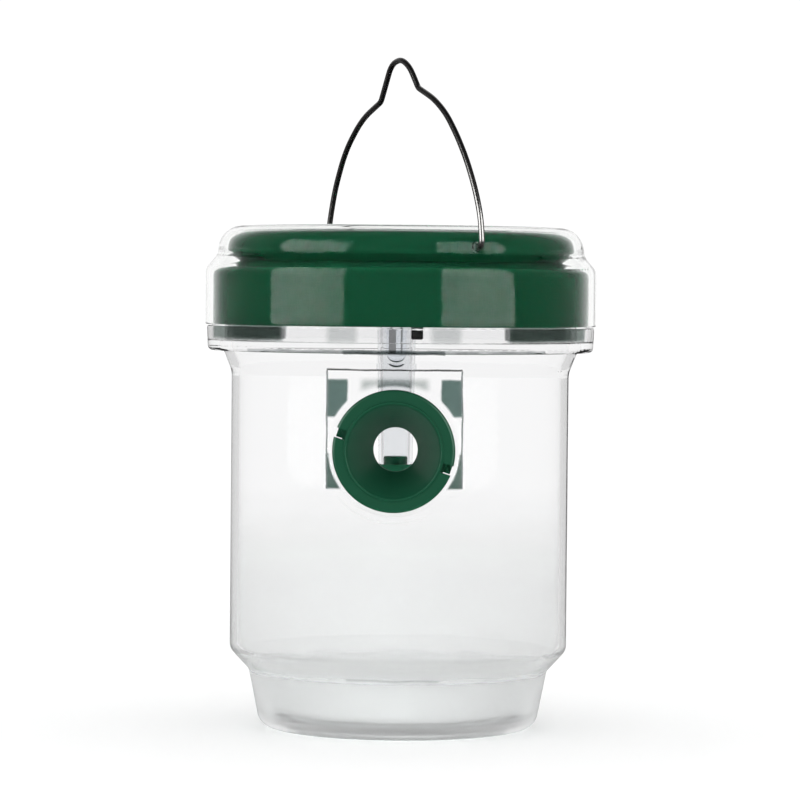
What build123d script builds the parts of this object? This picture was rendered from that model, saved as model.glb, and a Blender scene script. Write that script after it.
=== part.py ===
from build123d import *
import os
from math import cos, radians, sin, tan

# A hanging wasp trap: a clear jar with one entry funnel, closed by a two-tier lid that holds
# a solar lamp, and hung from a sprung wire bail. Millimetres, +Z up, origin at the centre of
# the standing face, entry funnel towards -Y.

os.makedirs("parts", exist_ok=True)

# ---- driving dimensions ----------------------------------------------------------------
gap = 0.3                 # between pieces that move against each other
screw_play = 0.1          # hole diameter over screw diameter

jar_wall = 1.8
jar_r = 42.3              # outside of the jar's body
base_r = 34.6             # sharp corner of the base, before rounding
base_rise = 1.2           # the base is dished up inside its standing ring
standing_r = 27.4         # inner edge of the standing ring
foot_r = 37.5             # top of the tapered foot
foot_top = 14.5
shoulder_z = 19.7         # where the body reaches its full radius
cove_z = 89.2             # where the body starts to flare into the collar
neck_r = 44.2
neck_top = 111.5
collar_r = 48.6
collar_z = 94.4
collar_top = 100.6
collar_web = 2.5

panel_y = 39.0            # distance of the flat front panel from the axis
panel_half = 16.6
panel_top = 90.3
panel_low_half = 15.5
panel_bottom = 61.6
panel_foot_r = 15.7       # the panel's round foot, about the funnel
rim_r = 17.3              # low rim on the panel round the funnel
rim_in = 15.3
rim_proud = 0.8

funnel_z = 70.9
funnel_r = 14.85
funnel_front = 41.5
funnel_back = 27.5
throat_r = 5.4
shank_r = 12.9
notch_angle = -18.0
notch_width = 2.4
notch_depth = 2.6
unlock_angle = 70.0       # how far the funnel turns before its tabs meet the slots
tab_r = 14.5
tab_width = 2.2
tab_thick = 1.6

lid_z = 100.9             # lower edge of the lid
cover_r = 49.0
cover_wall = 1.4
ring_r = 47.1
ring_bore = 45.8
ring_shoulder = 114.8     # where the lower green tier turns in towards the groove
ring_ceiling = 113.5
web_z = 115.1
split_z = 116.6           # the two green pieces meet here, at the bottom of the groove
split_r = 40.4
flange_bore = 36.0
cap_r = 43.4
cap_low = 118.6           # bottom of the upper green tier's straight side
cap_edge = 123.6          # and its top
cap_flat_r = 28.0
cap_top = 125.6
cap_wall = 1.5
cover_top = 126.3

lug_count = 4
lug_span = 30.0
lug_height = 2.0
jar_lug_z = 105.0
lug_out = 1.3
lid_lug_z = 102.4
lid_lug_height = 2.3
stop_span = 3.0

seal_z = neck_top + gap
seal_thick = 1.4
seal_in = 41.7
seal_out = 45.2

bail_angle = -63.6        # heading of the bail's front foot, degrees from +X
pivot_z = 120.1
wire_d = 1.45
bail_foot = 47.0
slot_wide = 2.2
slot_tall = 3.0

solar_size = 42.0
solar_thick = 2.4
tray_wall = 1.4
tray_floor = 1.2
pad_thick = 0.5
pad_size = 36.0

housing_r = 35.8
housing_wall = 1.4
housing_z = 101.6
floor_top = 103.6
flange_r = 40.6
flange_thick = 1.7
screw_ring = 38.2
screw_d = 2.2
screw_head_d = 3.9
screw_head_h = 1.5
screw_long = 7.4

lamp_x = -1.0
tube_bottom = 66.0
tube_tip_r = 4.25
tube_root_r = 4.83
tube_wall = 1.2
plug_thick = 2.6          # the green plug that closes the tube's lower end
spigot_long = 2.0
tube_flange_r = 6.6
gasket_thick = 0.6
led_r = 2.5
led_tip = 91.5
led_base = 100.1
lead_pitch = 2.54
lead_size = 0.5

board_z = 106.5
board_thick = 1.6
board_wide = 40.0
board_deep = 24.0
board_y = -3.0
board_top = board_z + board_thick
board_screw_x = 17.0
board_screw_y = -12.0
small_screw_d = 2.0
small_head_d = 3.8
cross_long = 2.2          # the cross recess in a screw head
cross_wide = 0.5

switch_x = 3.5
switch_y = -10.4
knob_x = 4.5
knob_wide = 2.9
knob_deep = 2.4
knob_bottom = 97.4
knob_travel = 2.0

cell_d = 10.2
cell_long = 30.0
cell_y = 19.2
cell_z = 109.0
holder_in = 18.4          # half length of the cell bay
holder_wall = 1.2
bay_deep = 11.2
door_screw_x = 22.4
wire_thin = 1.0


# ---- shared helpers --------------------------------------------------------------------
def upright(angle, centre=(0, 0, 0)):
    """The vertical plane through a centre whose x runs outwards at an angle and whose y is +Z."""
    outwards = (cos(radians(angle)), sin(radians(angle)), 0)
    return Plane(origin=centre, x_dir=outwards, z_dir=(outwards[1], -outwards[0], 0))


def turned_face(outline, plane=Plane.XZ):
    """A face from an outline of (radius, height, corner radius) points."""
    with BuildSketch(plane) as profile:
        with BuildLine():
            points = [(r, h) for r, h, corner in outline]
            FilletPolyline(*points, radius=[corner for r, h, corner in outline], close=True)
        make_face()
    return profile.sketch


def sector(outline, middle, span):
    """Turn an outline about Z through a span of degrees centred on an angle."""
    revolve(turned_face(outline, upright(middle - span / 2)), axis=Axis.Z, revolution_arc=span)


def band(r_in, r_out, low, high):
    """The outline of a plain ring."""
    return [(r_in, low, 0), (r_out, low, 0), (r_out, high, 0), (r_in, high, 0)]


def bend_radii(points, tight):
    """One radius for each inner corner: as large as its two runs allow, or the tight one given."""
    radii = []
    for i in range(1, len(points) - 1):
        before = Vector(points[i]) - Vector(points[i - 1])
        after = Vector(points[i + 1]) - Vector(points[i])
        turn = before.get_angle(after)
        largest = 0.45 * min(before.length, after.length) / tan(radians(turn / 2))
        radii.append(min(largest, tight.get(i, largest)))
    return radii


# ---- jar -------------------------------------------------------------------------------
jar_outline = [
    (0, base_rise, 0),
    (standing_r - 1.0, base_rise, 0.4),
    (standing_r, 0, 0),
    (base_r, 0, 4.0),
    (foot_r, foot_top, 1.5),
    (jar_r, shoulder_z, 3.0),
    (jar_r, cove_z, 6.0),
    (neck_r + 0.2, collar_z, 0),
    (collar_r - 0.3, collar_z, 1.2),
    (collar_r, collar_top, 0.4),
    (collar_r - 1.4, collar_top, 0.4),
    (collar_r - 1.7, collar_z + collar_web, 0.4),
    (neck_r, collar_z + collar_web, 0),
    (neck_r, neck_top, 0.4),
    (neck_r - jar_wall, neck_top, 0.4),
    (neck_r - jar_wall, collar_z + 0.6, 2.0),
    (jar_r - jar_wall, cove_z + 1.4, 4.0),
    (jar_r - jar_wall, shoulder_z + 0.7, 1.5),
    (foot_r - jar_wall, foot_top + 0.6, 2.5),
    (base_r - 1.4, base_rise + jar_wall, 2.6),
    (0, base_rise + jar_wall, 0),
]
jar_lug = band(neck_r - 0.3, neck_r + lug_out, jar_lug_z, jar_lug_z + lug_height)
jar_stop = band(neck_r - 0.3, neck_r + lug_out, lid_lug_z, jar_lug_z + lug_height)



def panel_shape(margin=0.0):
    """The flat panel's outline grown by a margin: a tapered block over a round foot."""
    with Locations((0, funnel_z)):
        Circle(panel_foot_r + margin)
    top, bottom = panel_half + margin, panel_low_half + margin
    high, low = panel_top + margin, panel_bottom - margin
    Polygon((-bottom, low), (bottom, low), (top, high), (-top, high), align=None)


with BuildPart() as jar:
    with BuildSketch(Plane.XZ.offset(panel_y - jar_wall)):
        panel_shape(jar_wall)
    extrude(amount=jar_wall + jar_r - panel_y)
    Cylinder(jar_r, collar_top, align=(Align.CENTER, Align.CENTER, Align.MIN), mode=Mode.INTERSECT)
    revolve(turned_face(jar_outline), axis=Axis.Z)
    with BuildSketch(Plane.XZ.offset(panel_y + rim_proud)):
        panel_shape()
    extrude(amount=jar_r - panel_y, mode=Mode.SUBTRACT)
    with BuildSketch(Plane.XZ.offset(panel_y)):
        panel_shape()
        with Locations((0, funnel_z)):
            Circle(rim_r, mode=Mode.SUBTRACT)
            Circle(rim_in)
    extrude(amount=jar_r - panel_y, mode=Mode.SUBTRACT)
    with BuildSketch(Plane.XZ.offset(panel_y)):
        with Locations((0, funnel_z)):
            Circle(shank_r + gap)
            Rectangle(
                2 * (tab_r + 0.25), tab_width + 2 * gap, rotation=notch_angle + unlock_angle
            )
    extrude(amount=-2 * jar_wall, mode=Mode.SUBTRACT)
    for quarter in range(lug_count):
        lug_middle = (quarter + 0.5) * 360 / lug_count
        sector(jar_lug, lug_middle, lug_span)
        sector(jar_stop, lug_middle - lug_span / 2 + stop_span / 2, stop_span)

jar.part.label = "jar"
export_step(jar.part, "parts/jar.step")

# ---- entry funnel ----------------------------------------------------------------------
lip_back = funnel_front - 2.25
skirt_back = panel_y - jar_wall - gap - tab_thick
funnel_outline = [
    (shank_r, -lip_back, 0),
    (funnel_r, -lip_back, 0.3),
    (funnel_r, -funnel_front, 0.7),
    (12.1, -funnel_front, 0),
    (11.9, -funnel_front - 0.3, 0),
    (11.5, -funnel_front - 0.3, 0.15),
    (11.1, -funnel_front + 0.4, 0.6),
    (throat_r, -funnel_back - 1.1, 0.8),
    (throat_r, -funnel_back, 0.3),
    (throat_r + 1.5, -funnel_back, 0.3),
    (10.9, -funnel_back - 9.7, 0),
    (shank_r - 1.2, -funnel_back - 9.7, 0),
    (shank_r - 1.2, -skirt_back, 0),
    (shank_r, -skirt_back, 0),
]

with BuildPart() as entry_funnel:
    revolve(
        turned_face(funnel_outline, Plane.XY.offset(funnel_z)),
        axis=Axis((0, 0, funnel_z), (0, 1, 0)),
    )
    with BuildSketch(Plane.XZ.offset(skirt_back)):
        with Locations((0, funnel_z)):
            Rectangle(2 * tab_r, tab_width, rotation=notch_angle)
            Circle(shank_r - 0.6, mode=Mode.SUBTRACT)
    extrude(amount=tab_thick)
    with BuildSketch(Plane.XZ.offset(lip_back)):
        with Locations((0, funnel_z)):
            Rectangle(2.2 * funnel_r, notch_width, rotation=notch_angle)
            Circle(funnel_r - notch_depth, mode=Mode.SUBTRACT)
    extrude(amount=funnel_front - lip_back + 1, mode=Mode.SUBTRACT)

entry_funnel.part.label = "entry_funnel"
export_step(entry_funnel.part, "parts/entry_funnel.step")

# ---- seal under the lid ----------------------------------------------------------------
with BuildPart() as lid_seal:
    revolve(turned_face(band(seal_in, seal_out, seal_z, seal_z + seal_thick)), axis=Axis.Z)
    fillet(lid_seal.edges(), 0.4)

lid_seal.part.label = "lid_seal"
export_step(lid_seal.part, "parts/lid_seal.step")

# ---- lower green tier of the lid -------------------------------------------------------
ring_outline = [
    (ring_bore, lid_z, 0.2),
    (ring_r, lid_z, 0.4),
    (ring_r, ring_shoulder, 2.2),
    (split_r, split_z, 0),
    (flange_bore, split_z, 0),
    (flange_bore, web_z, 0),
    (flange_r + 0.4, web_z, 0),
    (flange_r + 0.8, ring_ceiling, 0),
    (ring_bore, ring_ceiling, 0.8),
]
lid_lug = band(neck_r + gap, ring_bore + 0.4, lid_lug_z, lid_lug_z + lid_lug_height)

with BuildPart() as lid_ring:
    revolve(turned_face(ring_outline), axis=Axis.Z)
    for quarter in range(lug_count):
        sector(lid_lug, quarter * 360 / lug_count, lug_span - 2)
    with BuildSketch(Plane.XY.offset(web_z)):
        with PolarLocations(screw_ring, 4, start_angle=45):
            Circle((screw_d + screw_play) / 2)
    extrude(amount=split_z - web_z, mode=Mode.SUBTRACT)

lid_ring.part.label = "lid_ring"
export_step(lid_ring.part, "parts/lid_ring.step")

# ---- upper green tier of the lid, with the tray for the solar panel --------------------
cap_outline = [
    (0, cap_top, 0),
    (cap_flat_r, cap_top, 40.0),
    (cap_r, cap_edge, 4.5),
    (cap_r, cap_low, 1.2),
    (split_r, split_z, 0),
    (flange_bore, split_z, 0),
    (flange_bore, split_z + 1.4, 0),
    (split_r - 0.2, split_z + 1.4, 0),
    (cap_r - cap_wall, cap_low + 0.4, 0),
    (cap_r - cap_wall, cap_edge - 1.3, 3.0),
    (cap_flat_r, cap_top - cap_wall, 0),
    (0, cap_top - cap_wall, 0),
]
tray_in = solar_size + 0.8
tray_z = cap_top - 0.2 - solar_thick - pad_thick
wire_hole_x = 8.0
wire_hole_y = 4.0
wire_hole_r = 2.6
boss_r = 2.3
boss_long = 6.6
screw_hole_deep = 4.8

with BuildPart() as lid_cap:
    revolve(turned_face(cap_outline), axis=Axis.Z)
    with BuildSketch(Plane.XY.offset(tray_z - tray_floor)):
        RectangleRounded(tray_in + 2 * tray_wall, tray_in + 2 * tray_wall, 3.0)
    extrude(amount=cap_top - cap_wall + 0.4 - tray_z + tray_floor)
    with BuildSketch(Plane.XY.offset(tray_z)):
        RectangleRounded(tray_in, tray_in, 1.6)
    extrude(amount=cap_top - tray_z + 1, mode=Mode.SUBTRACT)
    with BuildSketch(Plane.XY.offset(tray_z - tray_floor)):
        with Locations((wire_hole_x, wire_hole_y)):
            Circle(wire_hole_r)
    extrude(amount=tray_floor, mode=Mode.SUBTRACT)
    with BuildSketch(Plane.XY.offset(split_z)):
        with PolarLocations(screw_ring, 4, start_angle=45):
            Circle(boss_r)
    extrude(amount=boss_long)
    with BuildSketch(Plane.XY.offset(split_z)):
        with PolarLocations(screw_ring, 4, start_angle=45):
            Circle((screw_d + screw_play) / 2)
    extrude(amount=screw_hole_deep, mode=Mode.SUBTRACT)
    for heading in (bail_angle, bail_angle + 180):
        side = upright(heading).x_dir
        with BuildSketch(Plane(origin=side * (split_r - 1) + Vector(0, 0, pivot_z), z_dir=side)):
            SlotOverall(slot_tall, slot_wide, rotation=90)
        extrude(amount=cover_r - split_r, mode=Mode.SUBTRACT)

lid_cap.part.label = "lid_cap"
export_step(lid_cap.part, "parts/lid_cap.step")

# ---- clear outer cover -----------------------------------------------------------------
cover_shoulder_r = 45.9
cover_outline = [
    (0, cover_top, 0),
    (cover_shoulder_r, 125.45, 6.0),
    (cover_shoulder_r, 118.6, 3.0),
    (cover_r, 115.0, 3.0),
    (cover_r, lid_z, 0.4),
    (cover_r - cover_wall, lid_z, 0.3),
    (cover_r - cover_wall, 114.5, 2.0),
    (cover_shoulder_r - cover_wall, 118.1, 1.6),
    (cover_shoulder_r - cover_wall, 124.1, 4.4),
    (30.0, cap_top, 0),
    (0, cap_top, 0),
]

with BuildPart() as lid_cover:
    revolve(turned_face(cover_outline), axis=Axis.Z)
    for heading in (bail_angle, bail_angle + 180):
        side = upright(heading).x_dir
        with BuildSketch(Plane(origin=side * split_r + Vector(0, 0, pivot_z), z_dir=side)):
            SlotOverall(slot_tall, slot_wide, rotation=90)
        extrude(amount=cover_r - split_r, mode=Mode.SUBTRACT)

lid_cover.part.label = "lid_cover"
export_step(lid_cover.part, "parts/lid_cover.step")

# ---- wire bail -------------------------------------------------------------------------
# Distance from the axis along the bail's plane, and height, from the front foot to the rear.
bail_points = [
    (40.8, pivot_z),
    (bail_foot, pivot_z),
    (46.0, 127.4),
    (42.9, 134.0),
    (38.0, 141.2),
    (32.2, 147.5),
    (26.0, 152.9),
    (19.0, 156.8),
    (9.4, 160.0),
    (4.2, 165.4),
    (-1.0, 167.7),
    (-7.0, 166.6),
    (-10.4, 161.6),
    (-13.3, 157.4),
    (-25.2, 153.4),
    (-35.6, 145.6),
    (-42.2, 135.8),
    (-45.6, 127.0),
    (-bail_foot, pivot_z),
    (-40.8, pivot_z),
]
bail_tight = {1: 1.8, 8: 3.0, 13: 3.0, 18: 1.8}

with BuildPart() as bail:
    with BuildLine(upright(bail_angle)) as bail_path:
        FilletPolyline(*bail_points, radius=bend_radii(bail_points, bail_tight))
    bail_wire = bail_path.wires()[0]
    with BuildSketch(Plane(origin=bail_wire @ 0, z_dir=bail_wire % 0)):
        Circle(wire_d / 2)
    sweep(path=bail_wire)

bail.part.label = "bail"
export_step(bail.part, "parts/bail.step")

# ---- solar panel and its foam pad ------------------------------------------------------
with BuildPart() as solar_pad:
    with BuildSketch(Plane.XY.offset(tray_z)):
        RectangleRounded(pad_size, pad_size, 2.0)
        with Locations((wire_hole_x, wire_hole_y)):
            Circle(wire_hole_r, mode=Mode.SUBTRACT)
    extrude(amount=pad_thick)

solar_pad.part.label = "solar_pad"
export_step(solar_pad.part, "parts/solar_pad.step")

with BuildPart() as solar_panel:
    with BuildSketch(Plane.XY.offset(tray_z + pad_thick)):
        RectangleRounded(solar_size, solar_size, 1.2)
    extrude(amount=solar_thick)
    chamfer(solar_panel.faces().sort_by(Axis.Z)[-1].edges(), 0.3)

solar_panel.part.label = "solar_panel"
export_step(solar_panel.part, "parts/solar_panel.step")

# ---- lamp housing: the tray that closes the lid from below -----------------------------
flange_z = web_z - flange_thick
housing_outline = [
    (0, housing_z, 0),
    (housing_r, housing_z, 1.0),
    (housing_r, flange_z, 0),
    (flange_r, flange_z, 0.4),
    (flange_r, web_z, 0),
    (housing_r - housing_wall, web_z, 0),
    (housing_r - housing_wall, floor_top, 0.8),
    (0, floor_top, 0),
]
bay_long = 2 * holder_in - 1.0
bay_wide = bay_deep - 0.6
ledge = 1.5
recess = 1.1
tab_wide = 7.0
door_end = door_screw_x + 2.7
boss_d = 5.0
door_boss_top = 108.0
slot_long = knob_wide + knob_travel + 2 * gap
slot_x = knob_x - knob_travel / 2

with BuildPart() as lamp_housing:
    revolve(turned_face(housing_outline), axis=Axis.Z)
    with BuildSketch(Plane.XY.offset(floor_top)):
        with Locations((-board_screw_x, board_screw_y), (board_screw_x, board_screw_y)):
            Circle(boss_d / 2)
        with Locations((-board_screw_x, 6.0), (board_screw_x, 6.0)):
            Circle(boss_d / 2 - 1.0)
    extrude(amount=board_z - floor_top)
    with BuildSketch(Plane.XY.offset(floor_top)):
        with Locations((door_screw_x, cell_y)):
            Circle(boss_d / 2)
    extrude(amount=door_boss_top - floor_top)
    with BuildSketch(Plane.XY.offset(housing_z)):
        with Locations((lamp_x, 0)):
            Circle(tube_root_r + 0.1)
        with Locations((slot_x, switch_y)):
            Rectangle(slot_long, knob_deep + 2 * gap)
        with Locations((0, cell_y)):
            Rectangle(bay_long, bay_wide)
    extrude(amount=floor_top - housing_z, mode=Mode.SUBTRACT)
    with BuildSketch(Plane.XY.offset(housing_z)):
        with Locations((0, cell_y)):
            Rectangle(bay_long + 2 * ledge, bay_wide + 2 * ledge)
            Rectangle(door_end + gap, tab_wide + 2 * gap, align=(Align.MIN, Align.CENTER))
    extrude(amount=recess, mode=Mode.SUBTRACT)
    with BuildSketch(Plane.XY.offset(housing_z)):
        with Locations((door_screw_x, cell_y)):
            Circle(small_screw_d / 2 + 0.08)
    extrude(amount=door_boss_top - housing_z, mode=Mode.SUBTRACT)
    with BuildSketch(Plane.XY.offset(floor_top - 1.0)):
        with Locations((-board_screw_x, board_screw_y), (board_screw_x, board_screw_y)):
            Circle((small_screw_d + screw_play) / 2)
    extrude(amount=board_z - floor_top + 1.0, mode=Mode.SUBTRACT)
    with BuildSketch(Plane.XY.offset(flange_z)):
        with PolarLocations(screw_ring, 4, start_angle=45):
            Circle((screw_d + screw_play) / 2)
    extrude(amount=flange_thick, mode=Mode.SUBTRACT)

lamp_housing.part.label = "lamp_housing"
export_step(lamp_housing.part, "parts/lamp_housing.step")

# ---- screws: pan heads with plain shanks -----------------------------------------------
with BuildPart() as housing_screws:
    with BuildSketch(Plane.XY.offset(flange_z - screw_head_h)):
        with PolarLocations(screw_ring, 4, start_angle=45):
            Circle(screw_head_d / 2)
    extrude(amount=screw_head_h)
    fillet(housing_screws.edges().group_by(Axis.Z)[0], 0.6)
    with BuildSketch(Plane.XY.offset(flange_z)):
        with PolarLocations(screw_ring, 4, start_angle=45):
            Circle(screw_d / 2)
    extrude(amount=screw_long)
    with BuildSketch(Plane.XY.offset(flange_z - screw_head_h)):
        with PolarLocations(screw_ring, 4, start_angle=45):
            Rectangle(cross_long, cross_wide)
            Rectangle(cross_wide, cross_long)
    extrude(amount=0.7, mode=Mode.SUBTRACT)

housing_screws.part.label = "housing_screws"
export_step(housing_screws.part, "parts/housing_screws.step")

with BuildPart() as board_screws:
    with BuildSketch(Plane.XY.offset(floor_top - 0.6)):
        with Locations((-board_screw_x, board_screw_y), (board_screw_x, board_screw_y)):
            Circle(small_screw_d / 2)
    extrude(amount=board_top - floor_top + 0.6)
    with BuildSketch(Plane.XY.offset(board_top)):
        with Locations((-board_screw_x, board_screw_y), (board_screw_x, board_screw_y)):
            Circle(small_head_d / 2)
    extrude(amount=1.4)
    fillet(board_screws.edges().group_by(Axis.Z)[-1], 0.5)
    with BuildSketch(Plane.XY.offset(board_top + 0.8)):
        with Locations((-board_screw_x, board_screw_y), (board_screw_x, board_screw_y)):
            Rectangle(cross_long, cross_wide)
            Rectangle(cross_wide, cross_long)
    extrude(amount=0.6, mode=Mode.SUBTRACT)

board_screws.part.label = "board_screws"
export_step(board_screws.part, "parts/board_screws.step")

# ---- battery door and its screw --------------------------------------------------------
door_thick = recess - gap
head_thin = 0.6

with BuildPart() as battery_door:
    with BuildSketch(Plane.XY.offset(housing_z)):
        with Locations((0, cell_y)):
            Rectangle(bay_long + 2 * ledge - 2 * gap, bay_wide + 2 * ledge - 2 * gap)
            Rectangle(door_end, tab_wide, align=(Align.MIN, Align.CENTER))
    extrude(amount=door_thick)
    with BuildSketch(Plane.XY.offset(housing_z + door_thick)):
        with Locations((0, cell_y)):
            RectangleRounded(bay_long - 2 * gap, bay_wide - 2 * gap, 1.0)
            RectangleRounded(bay_long - 2 * gap - 2.4, bay_wide - 2 * gap - 2.4, 0.6, mode=Mode.SUBTRACT)
    extrude(amount=0.9)
    with BuildSketch(Plane.XY.offset(housing_z)):
        with Locations((door_screw_x, cell_y)):
            Circle((small_screw_d + screw_play) / 2)
    extrude(amount=door_thick, mode=Mode.SUBTRACT)

battery_door.part.label = "battery_door"
export_step(battery_door.part, "parts/battery_door.step")

with BuildPart() as door_screw:
    with BuildSketch(Plane.XY.offset(housing_z - head_thin)):
        with Locations((door_screw_x, cell_y)):
            Circle(small_head_d / 2)
    extrude(amount=head_thin)
    with BuildSketch(Plane.XY.offset(housing_z)):
        with Locations((door_screw_x, cell_y)):
            Circle(small_screw_d / 2)
    extrude(amount=5.2)
    with BuildSketch(Plane.XY.offset(housing_z - head_thin)):
        with Locations((door_screw_x, cell_y)):
            Rectangle(cross_long, cross_wide)
            Rectangle(cross_wide, cross_long)
    extrude(amount=0.35, mode=Mode.SUBTRACT)

door_screw.part.label = "door_screw"
export_step(door_screw.part, "parts/door_screw.step")

# ---- lamp tube, gasket, lamp and leads -------------------------------------------------
lamp_plane = upright(0, (lamp_x, 0, 0))
lamp_axis = Axis((lamp_x, 0, 0), (0, 0, 1))
tube_flange_z = floor_top + gasket_thick
tube_outline = [
    (tube_tip_r - tube_wall, tube_bottom, 0),
    (tube_tip_r, tube_bottom, 0.4),
    (tube_root_r, housing_z - 0.6, 0),
    (tube_root_r, tube_flange_z, 0),
    (tube_flange_r, tube_flange_z, 0),
    (tube_flange_r, tube_flange_z + tube_wall, 0.3),
    (tube_root_r - tube_wall, tube_flange_z + tube_wall, 0.3),
    (tube_root_r - tube_wall, housing_z - 0.6, 0),
]

with BuildPart() as lamp_tube:
    revolve(turned_face(tube_outline, lamp_plane), axis=lamp_axis)

lamp_tube.part.label = "lamp_tube"
export_step(lamp_tube.part, "parts/lamp_tube.step")

spigot_r = tube_tip_r - tube_wall - screw_play / 2
plug_outline = [
    (0, tube_bottom - plug_thick, 0),
    (tube_tip_r, tube_bottom - plug_thick, 0.8),
    (tube_tip_r, tube_bottom, 0),
    (spigot_r, tube_bottom, 0),
    (spigot_r, tube_bottom + spigot_long, 0.4),
    (0, tube_bottom + spigot_long, 0),
]

with BuildPart() as tube_plug:
    revolve(turned_face(plug_outline, lamp_plane), axis=lamp_axis)

tube_plug.part.label = "tube_plug"
export_step(tube_plug.part, "parts/tube_plug.step")

with BuildPart() as tube_gasket:
    ring = band(tube_root_r + 0.1, tube_flange_r - 0.2, floor_top, tube_flange_z)
    revolve(turned_face(ring, lamp_plane), axis=lamp_axis)

tube_gasket.part.label = "tube_gasket"
export_step(tube_gasket.part, "parts/tube_gasket.step")

led_outline = [
    (0, led_tip, 0),
    (led_r, led_tip, led_r - 0.1),
    (led_r, led_base - 1.0, 0),
    (led_r + 0.4, led_base - 1.0, 0),
    (led_r + 0.4, led_base, 0),
    (0, led_base, 0),
]

with BuildPart() as led_lamp:
    revolve(turned_face(led_outline, lamp_plane), axis=lamp_axis)

led_lamp.part.label = "led_lamp"
export_step(led_lamp.part, "parts/led_lamp.step")

with BuildPart() as led_leads:
    with BuildSketch(Plane.XY.offset(led_base)):
        with Locations((lamp_x, 0)):
            with GridLocations(lead_pitch, 0, 2, 1):
                Rectangle(lead_size, lead_size)
    extrude(amount=board_top + 0.8 - led_base)

led_leads.part.label = "led_leads"
export_step(led_leads.part, "parts/led_leads.step")

# ---- circuit board and what is soldered to it ------------------------------------------
with BuildPart() as circuit_board:
    with BuildSketch(Plane.XY.offset(board_z)):
        with Locations((0, board_y)):
            RectangleRounded(board_wide, board_deep, 1.5)
        with Locations((-board_screw_x, board_screw_y), (board_screw_x, board_screw_y)):
            Circle((small_screw_d + screw_play) / 2, mode=Mode.SUBTRACT)
        with Locations((lamp_x, 0)):
            with GridLocations(lead_pitch, 0, 2, 1):
                Circle(0.45, mode=Mode.SUBTRACT)
    extrude(amount=board_thick)

circuit_board.part.label = "circuit_board"
export_step(circuit_board.part, "parts/circuit_board.step")

with BuildPart() as board_parts:
    with BuildSketch(Plane.XY.offset(board_top)):
        with Locations((-9.0, -7.0)):
            Rectangle(5.0, 4.0)
    extrude(amount=1.5)
    with BuildSketch(Plane.XY.offset(board_top)):
        with Locations((-14.0, 1.5)):
            Circle(2.5)
    extrude(amount=6.0)
    for part_x, part_y, part_r, part_long in ((10.0, -7.0, 1.0, 4.0), (10.0, -2.0, 1.2, 6.0)):
        with BuildSketch(Plane.YZ.offset(part_x - part_long / 2)):
            with Locations((part_y, board_top + part_r)):
                Circle(part_r)
        extrude(amount=part_long)

board_parts.part.label = "board_parts"
export_step(board_parts.part, "parts/board_parts.step")

# ---- lamp switch: body under the board, knob through the floor -------------------------
plate_deep = 3.8
knob_top = 105.0
plate_z = floor_top + gap

with BuildPart() as switch_body:
    with BuildSketch(Plane.XY.offset(floor_top)):
        with Locations((switch_x, switch_y)):
            Rectangle(10.0, 6.6)
    extrude(amount=board_z - floor_top)
    with BuildSketch(Plane.XY.offset(floor_top)):
        with Locations((slot_x, switch_y)):
            Rectangle(slot_long, plate_deep + 2 * gap)
    extrude(amount=knob_top + gap - floor_top, mode=Mode.SUBTRACT)

switch_body.part.label = "switch_body"
export_step(switch_body.part, "parts/switch_body.step")

with BuildPart() as switch_knob:
    with BuildSketch(Plane.XY.offset(knob_bottom)):
        with Locations((knob_x, switch_y)):
            Rectangle(knob_wide, knob_deep)
    extrude(amount=knob_top - knob_bottom)
    with BuildSketch(Plane.XY.offset(plate_z)):
        with Locations((knob_x, switch_y)):
            Rectangle(knob_wide, plate_deep)
    extrude(amount=knob_top - plate_z)
    chamfer(switch_knob.faces().sort_by(Axis.Z)[0].edges(), 0.3)

switch_knob.part.label = "switch_knob"
export_step(switch_knob.part, "parts/switch_knob.step")

# ---- rechargeable cell, its holder and contacts ----------------------------------------
plate_thin = 0.4
contact_x = holder_in - plate_thin - 0.1
cell_end = contact_x - 1.0
cell_start = cell_end - cell_long
holder_roof = 114.4
contact_tab_y = cell_y - bay_deep / 2 - holder_wall - 0.8

with BuildPart() as battery_holder:
    with BuildSketch(Plane.XY.offset(floor_top)):
        with Locations((0, cell_y)):
            RectangleRounded(2 * (holder_in + holder_wall), bay_deep + 2 * holder_wall, 1.0)
    extrude(amount=holder_roof + holder_wall - floor_top)
    with BuildSketch(Plane.XY.offset(floor_top)):
        with Locations((0, cell_y)):
            Rectangle(2 * holder_in, bay_deep)
    extrude(amount=holder_roof - floor_top, mode=Mode.SUBTRACT)
    with BuildSketch(Plane.XZ.offset(-cell_y)):
        with Locations((-contact_x - plate_thin / 2, cell_z), (contact_x + plate_thin / 2, cell_z)):
            Rectangle(plate_thin + 0.2, 4.4)
    extrude(amount=bay_deep / 2 + 2 * holder_wall, mode=Mode.SUBTRACT)

battery_holder.part.label = "battery_holder"
export_step(battery_holder.part, "parts/battery_holder.step")

with BuildPart() as battery_cell:
    with BuildSketch(Plane.YZ.offset(cell_start)):
        with Locations((cell_y, cell_z)):
            Circle(cell_d / 2)
    extrude(amount=cell_long)
    fillet(battery_cell.edges(), 0.4)
    with BuildSketch(Plane.YZ.offset(cell_end)):
        with Locations((cell_y, cell_z)):
            Circle(1.8)
    extrude(amount=contact_x - cell_end)

battery_cell.part.label = "battery_cell"
export_step(battery_cell.part, "parts/battery_cell.step")

with BuildPart() as battery_plate:
    with BuildSketch(Plane.YZ.offset(contact_x)):
        with Locations((cell_y, cell_z)):
            Rectangle(8.0, 8.0)
        with Locations(((contact_tab_y + cell_y) / 2, cell_z)):
            Rectangle(cell_y - contact_tab_y, 4.0)
    extrude(amount=plate_thin)

battery_plate.part.label = "battery_plate"
export_step(battery_plate.part, "parts/battery_plate.step")

spring_wire = 0.6
spring_start = -contact_x
spring_long = cell_start - spring_start
coil_pitch = 1.4
coil_r = 3.0

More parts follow.
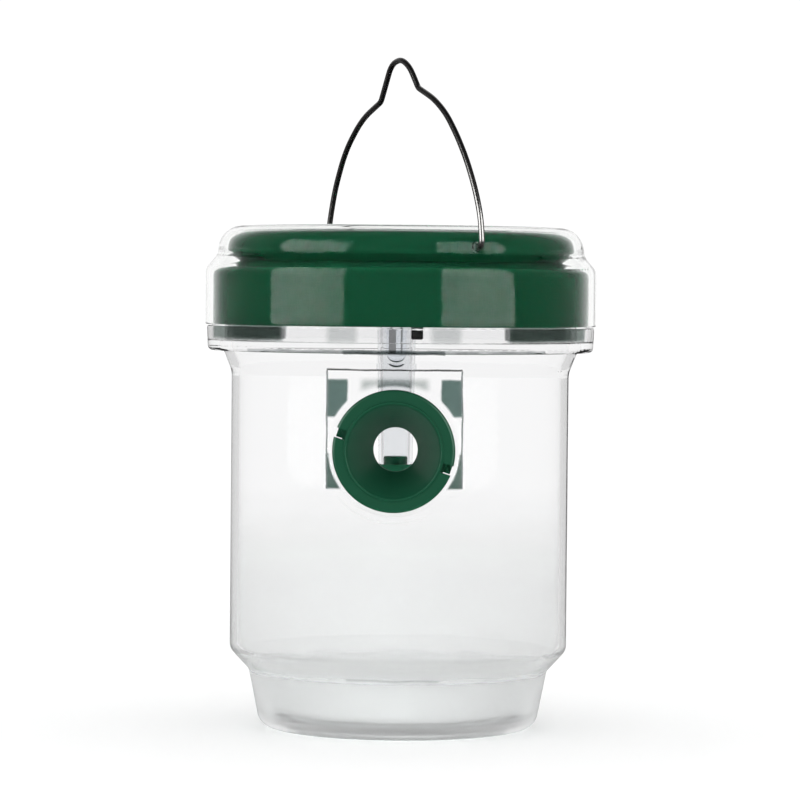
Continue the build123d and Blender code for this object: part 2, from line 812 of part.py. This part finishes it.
with BuildPart() as battery_spring:
    with BuildSketch(Plane.YZ.offset(-contact_x - plate_thin)):
        with Locations((cell_y, cell_z)):
            Rectangle(8.0, 8.0)
        with Locations(((contact_tab_y + cell_y) / 2, cell_z)):
            Rectangle(cell_y - contact_tab_y, 4.0)
    extrude(amount=plate_thin)
    with BuildLine() as coil_path:
        Helix(
            pitch=coil_pitch,
            height=spring_long - spring_wire,
            radius=coil_r,
            center=(spring_start + spring_wire / 2 - 0.05, cell_y, cell_z),
            direction=(1, 0, 0),
        )
    coil = coil_path.wires()[0]
    with BuildSketch(Plane(origin=coil @ 0, z_dir=coil % 0)):
        Circle(spring_wire / 2)
    sweep(path=coil, is_frenet=True)

battery_spring.part.label = "battery_spring"
export_step(battery_spring.part, "parts/battery_spring.step")

# ---- internal leads --------------------------------------------------------------------
def lead(points):
    """A thin insulated lead along straight runs and arcs."""
    with BuildPart() as run:
        with BuildLine() as path:
            FilletPolyline(*points, radius=bend_radii(points, {}))
        route = path.wires()[0]
        with BuildSketch(Plane(origin=route @ 0, z_dir=route % 0)):
            Circle(wire_thin / 2)
        sweep(path=route)
    return run.part


lead_end_y = 6.6

with BuildPart() as battery_wires:
    for side in (-1, 1):
        start_x = side * (contact_x + plate_thin / 2)
        add(lead([
            (start_x, contact_tab_y, cell_z),
            (start_x, contact_tab_y - 1.8, cell_z),
            (start_x - side * 1.2, lead_end_y + 0.3, cell_z + 2.4),
            (start_x - side * 2.2, lead_end_y, cell_z + 1.4),
            (start_x - side * 2.2, lead_end_y, board_top),
        ]))

battery_wires.part.label = "battery_wires"
export_step(battery_wires.part, "parts/battery_wires.step")

with BuildPart() as solar_wires:
    for side in (-1, 1):
        start_x = wire_hole_x + side * 1.0
        add(lead([
            (start_x, wire_hole_y, tray_z + pad_thick),
            (start_x, wire_hole_y, tray_z - 3.4),
            (start_x + side * 1.3, wire_hole_y + 1.0, tray_z - 7.4),
            (start_x + side * 0.4, wire_hole_y, board_top + 3.0),
            (start_x + side * 0.4, wire_hole_y, board_top),
        ]))

solar_wires.part.label = "solar_wires"
export_step(solar_wires.part, "parts/solar_wires.step")
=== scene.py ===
"""A hanging wasp trap: clear jar, green lid under a clear cover, entry funnel, solar lamp, wire bail."""
import math

import bpy
from mathutils import Matrix, Vector


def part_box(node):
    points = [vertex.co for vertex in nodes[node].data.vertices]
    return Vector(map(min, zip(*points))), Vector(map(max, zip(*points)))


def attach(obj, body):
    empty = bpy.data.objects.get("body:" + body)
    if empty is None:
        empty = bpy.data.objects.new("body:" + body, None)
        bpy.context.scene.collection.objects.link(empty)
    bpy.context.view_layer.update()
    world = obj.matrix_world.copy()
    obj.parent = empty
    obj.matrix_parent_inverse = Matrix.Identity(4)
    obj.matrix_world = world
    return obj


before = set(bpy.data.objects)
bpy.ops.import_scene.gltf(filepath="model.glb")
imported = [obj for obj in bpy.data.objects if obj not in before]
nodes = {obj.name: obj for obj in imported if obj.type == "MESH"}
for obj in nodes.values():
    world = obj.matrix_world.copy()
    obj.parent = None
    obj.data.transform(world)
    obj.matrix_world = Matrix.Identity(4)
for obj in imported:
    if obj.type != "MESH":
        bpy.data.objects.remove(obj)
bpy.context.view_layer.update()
mm = 0.001

# ---- camera ----------------------------------------------------------------------------
eye_distance = 0.950
eye_height = 0.1107
eye_azimuth = math.radians(2.0)
eye_pitch = math.radians(1.724)
eye_roll = math.radians(0.5)
lens = 170.15


def make_camera():
    data = bpy.data.cameras.new("view")
    data.lens = lens
    data.sensor_width = 36.0
    data.clip_start = 0.01
    camera = bpy.data.objects.new("view", data)
    bpy.context.scene.collection.objects.link(camera)
    turn = Matrix.Rotation(eye_azimuth, 4, "Z")
    tilt = Matrix.Rotation(math.pi / 2 - eye_pitch, 4, "X")
    place = Matrix.Translation(turn @ Vector((0, -eye_distance, eye_height)))
    camera.matrix_world = place @ turn @ tilt @ Matrix.Rotation(eye_roll, 4, "Z")
    bpy.context.scene.camera = camera


make_camera()

# ---- studio: pale floor, two tall soft boxes, a bright surround ------------------------
view_settings = bpy.context.scene.view_settings
view_settings.view_transform = "Standard"
view_settings.look = "None"

floor_size = 14.0
floor_glow = 0.11
room_white = 1.05          # the room to the eye and to matt surfaces
room_dark = 0.02           # its front, in gloss
room_dark_to = 0.5         # how far round the dark front reaches
room_white_from = 0.85     # where its white back begins
room_within = 0.7          # its front as mirrored inside clear plastic
softbox_radiance = 34.0
softbox_colour = (0.92, 1.0, 0.98)
softbox_away = 1.2
softbox_tall = 1.3
softbox_up = 0.35
clear_bounces = 32         # light passes many clear walls


def node_of(tree, kind, **values):
    """A new shader node with its inputs set by name."""
    node = tree.nodes.new(kind)
    for name, value in values.items():
        node.inputs[name.replace("_", " ")].default_value = value
    return node


def place_on_piece(tree):
    """The X, Y and Z of a point on the piece, as a node's outputs."""
    place = tree.nodes.new("ShaderNodeTexCoord")
    split = tree.nodes.new("ShaderNodeSeparateXYZ")
    tree.links.new(place.outputs["Object"], split.inputs[0])
    return split.outputs


def fill_ramp(tree, factor, points):
    """A colour ramp through (position, colour) points, a grey level standing for a colour."""
    node = tree.nodes.new("ShaderNodeValToRGB")
    elements = node.color_ramp.elements
    elements[0].position, elements[1].position = points[0][0], points[-1][0]
    for position, shade in points[1:-1]:
        elements.new(position)
    for element, (position, shade) in zip(elements, points):
        element.position = position
        element.color = (*shade, 1) if isinstance(shade, tuple) else (shade, shade, shade, 1)
    tree.links.new(factor, node.inputs["Fac"])
    return node.outputs["Color"]


def paint_over(tree, below, mask, shade):
    """One colour over another by a mask. The one below is a colour or a node's output."""
    mix = tree.nodes.new("ShaderNodeMix")
    mix.data_type = "RGBA"
    tree.links.new(mask, mix.inputs["Factor"])
    if isinstance(below, tuple):
        mix.inputs[6].default_value = (*below, 1)
    else:
        tree.links.new(below, mix.inputs[6])
    mix.inputs[7].default_value = (*shade, 1)
    return mix.outputs[2]


def make_floor():
    bpy.ops.object.select_all(action="DESELECT")
    bpy.ops.mesh.primitive_grid_add(x_subdivisions=8, y_subdivisions=8, size=floor_size, location=(0, 0, 0))
    floor = bpy.context.object
    floor.name = "floor"
    material = bpy.data.materials.new("pale_floor")
    material.use_nodes = True
    shader = material.node_tree.nodes["Principled BSDF"]
    shader.inputs["Base Color"].default_value = (0.93, 0.93, 0.93, 1)
    shader.inputs["Roughness"].default_value = 0.9
    shader.inputs["Specular IOR Level"].default_value = 0.0
    shader.inputs["Emission Color"].default_value = (1, 1, 1, 1)
    shader.inputs["Emission Strength"].default_value = floor_glow
    floor.data.materials.append(material)


def make_softbox(name, azimuth, width):
    """An upright area light that only shows in gloss. Azimuth 0 is the side the funnel faces."""
    data = bpy.data.lights.new(name, "AREA")
    data.shape = "RECTANGLE"
    data.size = width
    data.size_y = softbox_tall
    data.energy = softbox_radiance * math.pi * width * softbox_tall
    data.color = softbox_colour
    light = bpy.data.objects.new(name, data)
    bpy.context.scene.collection.objects.link(light)
    heading = math.radians(azimuth)
    light.location = (softbox_away * math.sin(heading), -softbox_away * math.cos(heading), softbox_up)
    towards = Vector((0, 0, softbox_up)) - light.location
    light.rotation_mode = "QUATERNION"
    light.rotation_quaternion = towards.to_track_quat("-Z", "Y")
    light.visible_camera = False
    light.visible_diffuse = False
    light.visible_transmission = False


def make_world():
    """White to the eye and to matt surfaces. In gloss the front is a dark room, the back white."""
    world = bpy.data.worlds.new("studio")
    world.use_nodes = True
    tree = world.node_tree
    links = tree.links
    tree.nodes.clear()
    place = tree.nodes.new("ShaderNodeTexCoord")
    split = tree.nodes.new("ShaderNodeSeparateXYZ")
    links.new(place.outputs["Generated"], split.inputs[0])
    ramp = node_of(
        tree, "ShaderNodeMapRange",
        From_Min=room_dark_to, From_Max=room_white_from, To_Min=room_dark, To_Max=1.0)
    ramp.interpolation_type = "SMOOTHSTEP"
    links.new(split.outputs["Y"], ramp.inputs["Value"])
    path = tree.nodes.new("ShaderNodeLightPath")

    def combine(operation, first, second):
        node = tree.nodes.new("ShaderNodeMath")
        node.operation = operation
        links.new(first, node.inputs[0])
        if isinstance(second, float):
            node.inputs[1].default_value = second
        else:
            links.new(second, node.inputs[1])
        return node.outputs[0]

    mirrored = combine("GREATER_THAN", path.outputs["Glossy Depth"], 0.5)
    passed = combine("GREATER_THAN", path.outputs["Transmission Depth"], 0.5)
    least = combine("MULTIPLY", passed, room_within)
    choose = tree.nodes.new("ShaderNodeMix")
    choose.data_type = "FLOAT"
    links.new(mirrored, choose.inputs["Factor"])
    choose.inputs[2].default_value = room_white
    links.new(combine("MAXIMUM", least, ramp.outputs["Result"]), choose.inputs[3])
    background = tree.nodes.new("ShaderNodeBackground")
    background.inputs["Color"].default_value = (1, 1, 1, 1)
    links.new(choose.outputs[0], background.inputs["Strength"])
    output = tree.nodes.new("ShaderNodeOutputWorld")
    links.new(background.outputs[0], output.inputs[0])
    bpy.context.scene.world = world
    world.cycles.sampling_method = "NONE"


bpy.context.scene.cycles.max_bounces = clear_bounces
bpy.context.scene.cycles.transmission_bounces = clear_bounces
make_floor()
make_world()
make_softbox("softbox_left", -54.5, 1.05)
make_softbox("softbox_right", 47.5, 1.0)

# ---- shared shader groups --------------------------------------------------------------


def new_group(name, inputs, outputs):
    """An empty shader node group with named float inputs and typed outputs."""
    group = bpy.data.node_groups.new(name, "ShaderNodeTree")
    for label, value in inputs:
        socket = group.interface.new_socket(label, in_out="INPUT", socket_type="NodeSocketFloat")
        socket.default_value = value
    for label, kind in outputs:
        group.interface.new_socket(label, in_out="OUTPUT", socket_type=kind)
    return group, group.nodes.new("NodeGroupInput"), group.nodes.new("NodeGroupOutput")


def make_speckle_group():
    """Fine uneven values around a middle: roughness from a base, and a height for a bump."""
    group, entry, out = new_group(
        "moulded_surface",
        [("Scale", 900.0), ("Base", 0.3), ("Spread", 0.08)],
        [("Roughness", "NodeSocketFloat"), ("Height", "NodeSocketFloat")],
    )
    links = group.links
    place = group.nodes.new("ShaderNodeTexCoord")
    noise = node_of(group, "ShaderNodeTexNoise", Detail=3.0, Roughness=0.55)
    links.new(place.outputs["Object"], noise.inputs["Vector"])
    links.new(entry.outputs["Scale"], noise.inputs["Scale"])
    centred = node_of(group, "ShaderNodeMath")
    centred.operation = "SUBTRACT"
    centred.inputs[1].default_value = 0.5
    links.new(noise.outputs["Fac"], centred.inputs[0])
    rough = group.nodes.new("ShaderNodeMath")
    rough.operation = "MULTIPLY_ADD"
    links.new(centred.outputs[0], rough.inputs[0])
    links.new(entry.outputs["Spread"], rough.inputs[1])
    links.new(entry.outputs["Base"], rough.inputs[2])
    links.new(rough.outputs[0], out.inputs["Roughness"])
    links.new(noise.outputs["Fac"], out.inputs["Height"])
    return group


moulded_surface = make_speckle_group()


def new_material(name):
    material = bpy.data.materials.new(name)
    material.use_nodes = True
    return material, material.node_tree, material.node_tree.nodes["Principled BSDF"]


def add_surface(tree, shader, scale, base, spread, bump):
    """Uneven roughness and a fine bump from the shared group."""
    surface = tree.nodes.new("ShaderNodeGroup")
    surface.node_tree = moulded_surface
    surface.inputs["Scale"].default_value = scale
    surface.inputs["Base"].default_value = base
    surface.inputs["Spread"].default_value = spread
    relief = node_of(tree, "ShaderNodeBump", Strength=bump, Distance=0.0002)
    tree.links.new(surface.outputs["Height"], relief.inputs["Height"])
    tree.links.new(surface.outputs["Roughness"], shader.inputs["Roughness"])
    tree.links.new(relief.outputs["Normal"], shader.inputs["Normal"])
    return relief


def solid_plastic(name, colour, scale=1200.0, base=0.3, spread=0.1, bump=0.05, specular=0.5, glow=0.0):
    material, tree, shader = new_material(name)
    shader.inputs["Base Color"].default_value = (*colour, 1)
    shader.inputs["Specular IOR Level"].default_value = specular
    if glow:
        shader.inputs["Emission Color"].default_value = (1, 1, 1, 1)
        shader.inputs["Emission Strength"].default_value = glow
    add_surface(tree, shader, scale, base, spread, bump)
    return material


def metal(name, colour, base=0.25, scale=2500.0, spread=0.15, bump=0.06):
    material, tree, shader = new_material(name)
    shader.inputs["Base Color"].default_value = (*colour, 1)
    shader.inputs["Metallic"].default_value = 1.0
    add_surface(tree, shader, scale, base, spread, bump)
    return material


def clear_plastic(name, tint=(1, 1, 1), base=0.02, spread=0.02, scale=60.0, bump=0.02, ior=1.5):
    material, tree, shader = new_material(name)
    shader.inputs["Base Color"].default_value = (*tint, 1)
    shader.inputs["IOR"].default_value = ior
    shader.inputs["Transmission Weight"].default_value = 1.0
    add_surface(tree, shader, scale, base, spread, bump)
    return material



def make_painted_reflection_group():
    """A soft-edged mask for a pair of painted reflections, one each side of the middle, on the jar's front.
    """
    group, entry, out = new_group(
        "painted_reflection_patch",
        [("Across", 0.0), ("Half Width", 0.001), ("Up", 0.0), ("Half Height", 0.001), ("Soft", 0.0003),
         ("Clear Radius", 0.0)],
        [("Mask", "NodeSocketFloat")],
    )
    links = group.links
    place = group.nodes.new("ShaderNodeTexCoord")
    warp = node_of(group, "ShaderNodeTexNoise", Scale=160.0, Detail=1.0)
    links.new(place.outputs["Object"], warp.inputs["Vector"])
    split = group.nodes.new("ShaderNodeSeparateXYZ")
    links.new(place.outputs["Object"], split.inputs[0])

    def math_node(operation, first, second=None, third=None):
        node = group.nodes.new("ShaderNodeMath")
        node.operation = operation
        for socket, value in zip(node.inputs, (first, second, third)):
            if value is None:
                continue
            if isinstance(value, (int, float)):
                socket.default_value = value
            else:
                links.new(value, socket)
        return node.outputs[0]

    def inside(distance, half):
        """1 within half, 0 past half plus the softness."""
        ease = group.nodes.new("ShaderNodeMapRange")
        ease.interpolation_type = "SMOOTHSTEP"
        links.new(distance, ease.inputs["Value"])
        links.new(half, ease.inputs["From Min"])
        links.new(math_node("ADD", half, entry.outputs["Soft"]), ease.inputs["From Max"])
        ease.inputs["To Min"].default_value = 1.0
        ease.inputs["To Max"].default_value = 0.0
        return ease.outputs["Result"]

    def off_middle(value, label):
        """How far a value is from the patch's middle, with a slightly uneven edge."""
        away = math_node("SUBTRACT", value, entry.outputs[label])
        return math_node("ABSOLUTE", math_node("ADD", away, shift))

    shift = math_node("MULTIPLY", math_node("SUBTRACT", warp.outputs["Fac"], 0.5), edge_waver)
    side = math_node("ABSOLUTE", split.outputs["X"])
    wide = inside(off_middle(side, "Across"), entry.outputs["Half Width"])
    tall = inside(off_middle(split.outputs["Z"], "Up"), entry.outputs["Half Height"])
    box = math_node("MULTIPLY", wide, tall)
    rise = math_node("SUBTRACT", split.outputs["Z"], funnel_z)
    squares = math_node("ADD", math_node("MULTIPLY", side, side), math_node("MULTIPLY", rise, rise))
    radius = math_node("SQRT", squares)
    beyond = math_node("SUBTRACT", 1.0, inside(radius, entry.outputs["Clear Radius"]))
    front = math_node("LESS_THAN", split.outputs["Y"], front_side)
    links.new(math_node("MULTIPLY", math_node("MULTIPLY", box, beyond), front), out.inputs["Mask"])
    return group


def jar_plastic():
    """Clear, frosted towards the foot, with painted dark reflections of the recess and the collar in its
    colour.
    """
    material = clear_plastic("clear_styrene_jar", jar_tint, ior=1.07)
    tree = material.node_tree
    shader = tree.nodes["Principled BSDF"]
    height = node_of(tree, "ShaderNodeMapRange", From_Min=0.0, From_Max=haze_scale)
    tree.links.new(place_on_piece(tree)["Z"], height.inputs["Value"])
    tree.links.new(fill_ramp(tree, height.outputs["Result"], jar_frost), shader.inputs["Roughness"])
    colour = jar_tint
    # each entry paints one reflection or dark edge line into the clear plastic's colour
    for across, half_width, up, half_height, soft, clear_radius, dark in jar_painted_reflections:
        patch = tree.nodes.new("ShaderNodeGroup")
        patch.node_tree = painted_reflection_patch
        values = (across, half_width, up, half_height, soft, clear_radius)
        for socket, value in zip(patch.inputs, values):
            socket.default_value = value * mm
        colour = paint_over(tree, colour, patch.outputs["Mask"], dark)
    tree.links.new(colour, shader.inputs["Base Color"])
    return material


funnel_low, funnel_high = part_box("entry_funnel")
funnel_z = (funnel_low[2] + funnel_high[2]) / 2
edge_waver = 0.0007        # how uneven the edges of the painted reflections are
front_side = -0.012        # only the wall on this side of it has painted reflections
haze_scale = 0.1           # the height that position 1 on the haze and frost ramps stands for
jar_tint = (0.93, 0.93, 0.932)
jar_frost = ((0.13, 0.3), (0.19, 0.14), (0.46, 0.06), (0.56, 0.02))
teal_painted_reflection = (0.12, 0.18, 0.165)
slate_painted_reflection = (0.2, 0.235, 0.22)
# painted reflections, and painted dark lines where light bends at edges, on the jar's front: across, half
# width, up, half height, softness, clear radius about the funnel (mm), colour
jar_painted_reflections = (
    (13.8, 2.1, 83.6, 4.2, 0.7, 16.2, teal_painted_reflection),
    (14.0, 1.9, 66.0, 3.9, 0.7, 15.5, (0.07, 0.12, 0.1)),
    (0.0, 3.6, 86.9, 0.5, 1.0, 15.2, (0.1, 0.14, 0.13)),
    (0.0, 7.0, 86.6, 0.4, 2.2, 15.3, (0.5, 0.53, 0.52)),
    (16.3, 0.1, 76.0, 14.2, 0.15, 0.0, (0.2, 0.22, 0.22)),
    (0.0, 16.2, 90.5, 0.12, 0.2, 0.0, (0.12, 0.12, 0.12)),
    (36.6, 8.6, 99.8, 1.7, 1.6, 0.0, slate_painted_reflection),
    (27.0, 0.3, 99.8, 1.8, 0.5, 0.0, (0.45, 0.46, 0.46)),
    (12.5, 2.4, 99.8, 1.8, 2.2, 0.0, (0.76, 0.77, 0.77)),
    (0.0, 36.0, 94.9, 0.15, 0.4, 0.0, (0.34, 0.36, 0.36)),
    (0.0, 12.0, 94.7, 0.2, 0.5, 0.0, (0.1, 0.12, 0.12)),
    (0.0, 11.0, 15.0, 0.1, 0.35, 0.0, (0.55, 0.55, 0.56)),
)
painted_reflection_patch = make_painted_reflection_group()
clear_jar = jar_plastic()
clear_cover = clear_plastic("clear_styrene_cover", (0.985, 0.99, 0.985), bump=0.004, ior=1.1)
clear_tube = clear_plastic("clear_lamp_tube", (0.86, 0.87, 0.88), ior=1.16)
clear_epoxy = clear_plastic("clear_epoxy", (0.93, 0.95, 0.98), base=0.05, ior=1.08)
lid_green_colour = (0.0024, 0.0345, 0.0155)
lid_green = solid_plastic("lid_green", lid_green_colour, base=0.06, spread=0.02, bump=0.01, specular=0.05)
funnel_green = solid_plastic("funnel_green", (0.009, 0.075, 0.038), base=0.32, spread=0.06, specular=0.05)
housing_green = solid_plastic("housing_green", (0.009, 0.075, 0.038), base=0.35, spread=0.06)
black_plastic = solid_plastic("black_plastic", (0.008, 0.007, 0.008), base=0.45)
seal_rubber = solid_plastic("seal_rubber", (0.02, 0.02, 0.02), base=0.7, bump=0.2)
pad_foam = solid_plastic("pad_foam", (0.04, 0.04, 0.04), scale=3000.0, base=0.9, bump=0.8)


def paint_light_into_groove(material, plain, painted_lit_green, low, high):
    """Painted light: the lid's green is made lighter in its groove, to offset the shade that falls there."""
    tree = material.node_tree
    away = node_of(tree, "ShaderNodeMapRange", From_Min=low, From_Max=high)
    tree.links.new(place_on_piece(tree)["Z"], away.inputs["Value"])
    points = ((0.0, plain), (0.35, painted_lit_green), (0.65, painted_lit_green), (1.0, plain))
    green = fill_ramp(tree, away.outputs["Result"], points)
    tree.links.new(green, tree.nodes["Principled BSDF"].inputs["Base Color"])


# painted light in the groove between the lid's tiers
paint_light_into_groove(lid_green, lid_green_colour, (0.0045, 0.055, 0.025), 0.1140, 0.1200)
spring_steel = metal("spring_steel", (0.045, 0.041, 0.041), base=0.28)
plated_steel = metal("plated_steel", (0.72, 0.72, 0.7), base=0.22)
nickel_plate = metal("nickel_plate", (0.78, 0.74, 0.66), base=0.18)


def solar_cells():
    """Dark blue cells under resin, with pale gaps between them, two busbars and fine fingers."""
    colour = (0.004, 0.006, 0.02)
    material = solid_plastic("solar_resin", colour, base=0.08, spread=0.03, bump=0.01)
    tree = material.node_tree
    along = place_on_piece(tree)

    def lines(axis, pitch, wide):
        """1 on thin lines repeated along an axis."""
        ramped = tree.nodes.new("ShaderNodeMath")
        ramped.operation = "PINGPONG"
        ramped.inputs[1].default_value = pitch / 2
        tree.links.new(along[axis], ramped.inputs[0])
        thin = tree.nodes.new("ShaderNodeMath")
        thin.operation = "LESS_THAN"
        thin.inputs[1].default_value = wide / 2
        tree.links.new(ramped.outputs[0], thin.inputs[0])
        return thin.outputs[0]

    fingers = ("X", 0.0012, 0.00012, (0.05, 0.06, 0.09))
    gaps = ("Y", 0.0205, 0.0010, (0.45, 0.46, 0.48))
    busbars = ("X", 0.0102, 0.0005, (0.10, 0.11, 0.13))
    for axis, pitch, wide, shade in (fingers, gaps, busbars):
        colour = paint_over(tree, colour, lines(axis, pitch, wide), shade)
    tree.links.new(colour, tree.nodes["Principled BSDF"].inputs["Base Color"])
    return material


solar_resin = solar_cells()
solder_resist = solid_plastic("solder_resist", (0.01, 0.12, 0.05), base=0.3)
chip_black = solid_plastic("chip_black", (0.012, 0.012, 0.012), base=0.5)
cell_sleeve = solid_plastic("cell_sleeve", (0.02, 0.16, 0.07), base=0.25)
lead_red = solid_plastic("lead_red", (0.45, 0.015, 0.012), base=0.4)

# the finish that each CAD node gets
finish_of = {
    "jar": clear_jar,
    "lid_cover": clear_cover,
    "lamp_tube": clear_tube,
    "tube_plug": funnel_green,
    "led_lamp": clear_epoxy,
    "lid_ring": lid_green,
    "lid_cap": lid_green,
    "entry_funnel": funnel_green,
    "lamp_housing": housing_green,
    "battery_door": housing_green,
    "lid_seal": seal_rubber,
    "tube_gasket": seal_rubber,
    "bail": spring_steel,
    "solar_panel": solar_resin,
    "solar_pad": pad_foam,
    "led_leads": plated_steel,
    "housing_screws": plated_steel,
    "board_screws": plated_steel,
    "door_screw": plated_steel,
    "battery_spring": nickel_plate,
    "battery_plate": nickel_plate,
    "circuit_board": solder_resist,
    "board_parts": chip_black,
    "switch_body": black_plastic,
    "switch_knob": black_plastic,
    "battery_holder": black_plastic,
    "battery_cell": cell_sleeve,
    "battery_wires": lead_red,
    "solar_wires": lead_red,
}


# ---- haze on the inside of the jar's lower wall, and the lamp's lead frame -------------
def ring_shell(name, rings, sides, wall):
    """A turned shell from (radius, height) rings: one circle extruded from ring to ring."""
    bpy.ops.object.select_all(action="DESELECT")
    first_r, first_z = rings[0]
    bpy.ops.mesh.primitive_circle_add(vertices=sides, radius=first_r, location=(0, 0, first_z))
    piece = bpy.context.object
    piece.name = name
    bpy.ops.object.mode_set(mode="EDIT")
    bpy.ops.mesh.select_mode(type="VERT")
    bpy.ops.mesh.select_all(action="SELECT")
    at_r, at_z = first_r, first_z
    for r, z in rings[1:]:
        bpy.ops.mesh.extrude_region_move(TRANSFORM_OT_translate={"value": (0, 0, z - at_z)})
        bpy.ops.transform.resize(value=(r / at_r, r / at_r, 1), center_override=(0, 0, z))
        at_r, at_z = r, z
    bpy.ops.mesh.select_all(action="SELECT")
    bpy.ops.mesh.normals_make_consistent(inside=False)
    bpy.ops.object.mode_set(mode="OBJECT")
    bpy.ops.object.transform_apply(location=True, rotation=True, scale=True)
    solid = piece.modifiers.new("wall", "SOLIDIFY")
    solid.thickness = wall
    solid.offset = -1.0
    bpy.ops.object.modifier_apply(modifier=solid.name)
    bpy.ops.object.shade_smooth_by_angle(angle=math.radians(40))
    return piece


def haze_film_material():
    material, tree, shader = new_material("haze_film")
    shader.inputs["Base Color"].default_value = (0.71, 0.70, 0.702, 1)
    shader.inputs["Specular IOR Level"].default_value = 0.0
    shader.inputs["Roughness"].default_value = 1.0
    height = node_of(tree, "ShaderNodeMapRange", From_Max=haze_scale)
    tree.links.new(place_on_piece(tree)["Z"], height.inputs["Value"])
    place = tree.nodes.new("ShaderNodeTexCoord")
    noise = node_of(tree, "ShaderNodeTexNoise", Scale=70.0, Detail=4.0)
    tree.links.new(place.outputs["Object"], noise.inputs["Vector"])
    wander = node_of(tree, "ShaderNodeMath")
    wander.operation = "MULTIPLY_ADD"
    wander.inputs[1].default_value = 0.03
    tree.links.new(noise.outputs["Fac"], wander.inputs[0])
    tree.links.new(height.outputs["Result"], wander.inputs[2])
    tree.links.new(fill_ramp(tree, wander.outputs[0], haze_fade), shader.inputs["Alpha"])
    return material


def lead_frame_post(name, across, wide, painted_lit_green, low, high):
    """One post of the lamp's lead frame, flared into a plate and a cup at its lower end."""
    bpy.ops.object.select_all(action="DESELECT")
    middle = (low + high) / 2
    bpy.ops.mesh.primitive_cube_add(size=1, location=(across, 0, middle), scale=(painted_lit_green, painted_lit_green, high - low))
    piece = bpy.context.object
    piece.name = name
    bpy.ops.object.transform_apply(location=True, rotation=True, scale=True)
    for face in piece.data.polygons:
        face.select = face.normal.z < -0.5
    for edge in piece.data.edges:
        edge.select = False
    bpy.ops.object.mode_set(mode="EDIT")
    bpy.ops.mesh.select_mode(type="FACE")
    bpy.ops.mesh.extrude_region_move(TRANSFORM_OT_translate={"value": (0, 0, -0.5 * mm)})
    bpy.ops.transform.resize(value=(wide / painted_lit_green, 1.3, 1), center_override=(across, 0, low))
    bpy.ops.mesh.extrude_region_move(TRANSFORM_OT_translate={"value": (0, 0, -0.7 * mm)})
    bpy.ops.mesh.inset(thickness=0.1 * mm)
    bpy.ops.mesh.extrude_region_move(TRANSFORM_OT_translate={"value": (0, 0, 0.25 * mm)})
    bpy.ops.object.mode_set(mode="OBJECT")
    bevel = piece.modifiers.new("edge", "BEVEL")
    bevel.width = 0.04 * mm
    bevel.segments = 2
    bpy.ops.object.modifier_apply(modifier=bevel.name)
    piece.data.materials.append(lead_frame_painted_glow)
    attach(piece, "lid")


# painted light: a faint glow on the lead frame, which gives no light, so its posts do not go black inside
# the clear tube and epoxy
lead_frame_painted_glow = solid_plastic("lead_frame_painted_glow", (0.22, 0.22, 0.22), base=0.35, glow=0.2)
lamp_low, lamp_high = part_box("led_lamp")
lamp_x = (lamp_low[0] + lamp_high[0]) / 2
# name, how far across from the lamp's middle, foot width, post thickness, height of the foot (mm)
for name, across, wide, painted_lit_green, up in (
    ("lamp_post_wide", -0.95, 1.7, 0.5, 3.4),
    ("lamp_post_thin", 1.2, 0.8, 0.45, 3.2),
):
    lead_frame_post(name, lamp_x + across * mm, wide * mm, painted_lit_green * mm, lamp_low[2] + up * mm, lamp_high[2])

# the film's density at rising heights, strong in the foot and gone below the funnel
haze_fade = ((0.0, 0.8), (0.135, 0.66), (0.175, 0.24), (0.36, 0.22), (0.46, 0.14), (0.54, 0.05), (0.61, 0.0))
haze_sides = 144
haze_thick = 0.05 * mm
# radius and height down the inside of the jar's wall
haze_rings = (
    (0.0403, 0.060), (0.0403, 0.046), (0.0403, 0.030), (0.0402, 0.0215), (0.0394, 0.0187),
    (0.0372, 0.0167), (0.0352, 0.0137), (0.0327, 0.0062), (0.0313, 0.0042), (0.0285, 0.0033),
)
haze = ring_shell("jar_haze", haze_rings, haze_sides, haze_thick)
haze.data.materials.append(haze_film_material())
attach(haze, "jar")

# ---- finishes on the CAD nodes ---------------------------------------------------------
for name, material in finish_of.items():
    for place in nodes[name].material_slots:
        place.material = material
